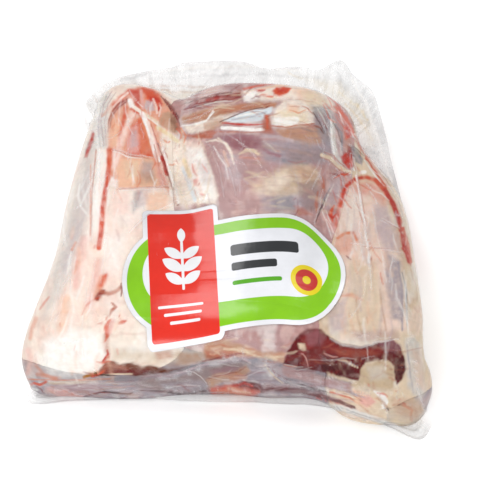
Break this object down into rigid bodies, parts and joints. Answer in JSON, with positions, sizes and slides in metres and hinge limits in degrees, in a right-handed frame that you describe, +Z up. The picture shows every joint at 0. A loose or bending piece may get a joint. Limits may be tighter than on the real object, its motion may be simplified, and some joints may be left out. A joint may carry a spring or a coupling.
{
  "type": "vacuum pack of lamb shanks",
  "caption": "Clear shrink-wrapped pack of raw lamb shanks, lying flat, with crinkled film at its back and a curved adhesive label on top.",
  "frame": {"origin": "under the middle of the pack's outline, on the surface that it lies on", "axes": "+Z up, +Y towards the loose crinkled film at the back, -Y towards the front edge where the label's band points, +X to the right"},
  "size_m": [0.2208, 0.2542, 0.0657],
  "materials": {
    "film_over_meat": "clear glossy film drawn tight over pale fat, pink and maroon meat",
    "printed_label": "satin printed adhesive label: white, green and red"
  },
  "bodies": {
    "root": {"bag": "film_over_meat", "label": "printed_label"}
  },
  "joints": []
}
